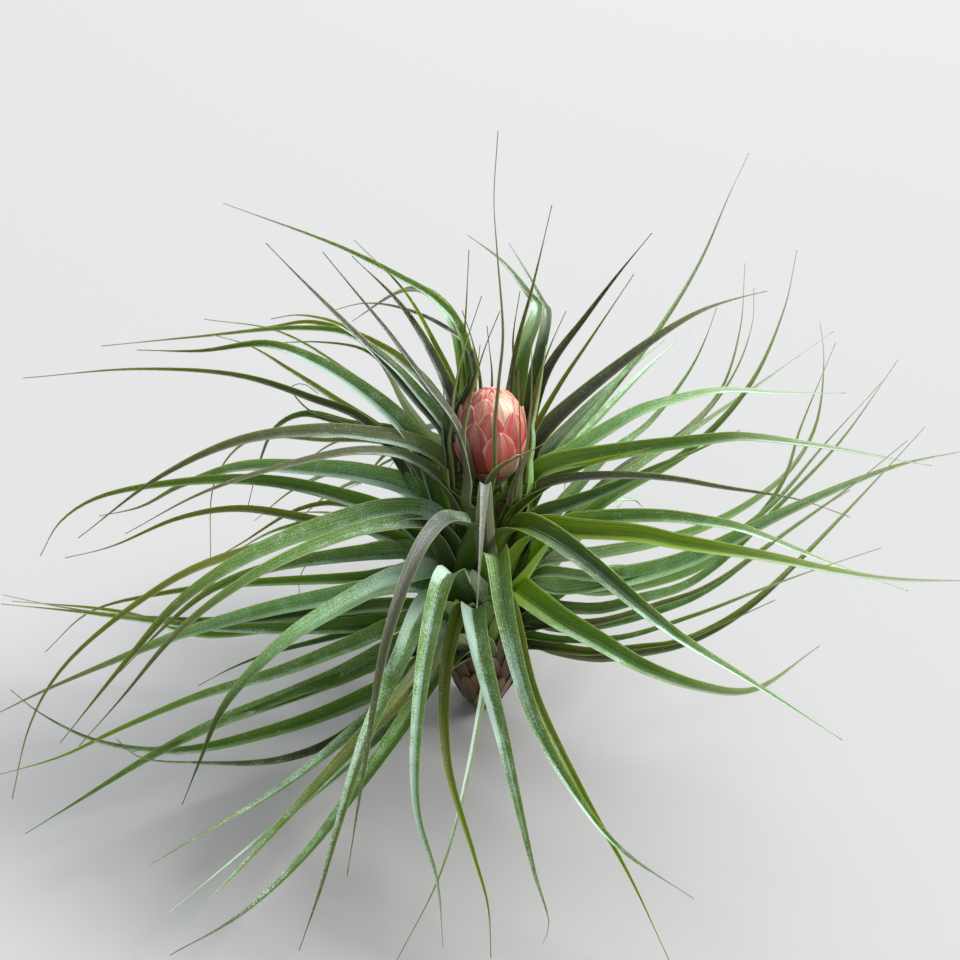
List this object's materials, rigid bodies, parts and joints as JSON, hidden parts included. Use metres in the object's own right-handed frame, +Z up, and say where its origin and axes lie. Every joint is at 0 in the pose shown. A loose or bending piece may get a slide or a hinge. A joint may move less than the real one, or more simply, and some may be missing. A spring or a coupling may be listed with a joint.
{
  "type": "air plant",
  "caption": "Stemless rosette plant: long, narrow, channelled silvery leaves arching out all round one egg-shaped coral-pink flower bud.",
  "frame": {"origin": "centre of the stem's flat foot, on the surface the plant stands on", "axes": "+Z up along the stem; +X to the right and -Y towards the viewer of the picture"},
  "size_m": [0.2872, 0.2475, 0.1752],
  "materials": {
    "leaf": "living leaf, silvery green with fine frosted hairs and lengthwise veins, satin",
    "bract": "living bract, coral pink with cream edges, satin"
  },
  "bodies": {
    "root": {"leafy_stem": "leaf", "flower_head": "bract"}
  },
  "joints": []
}
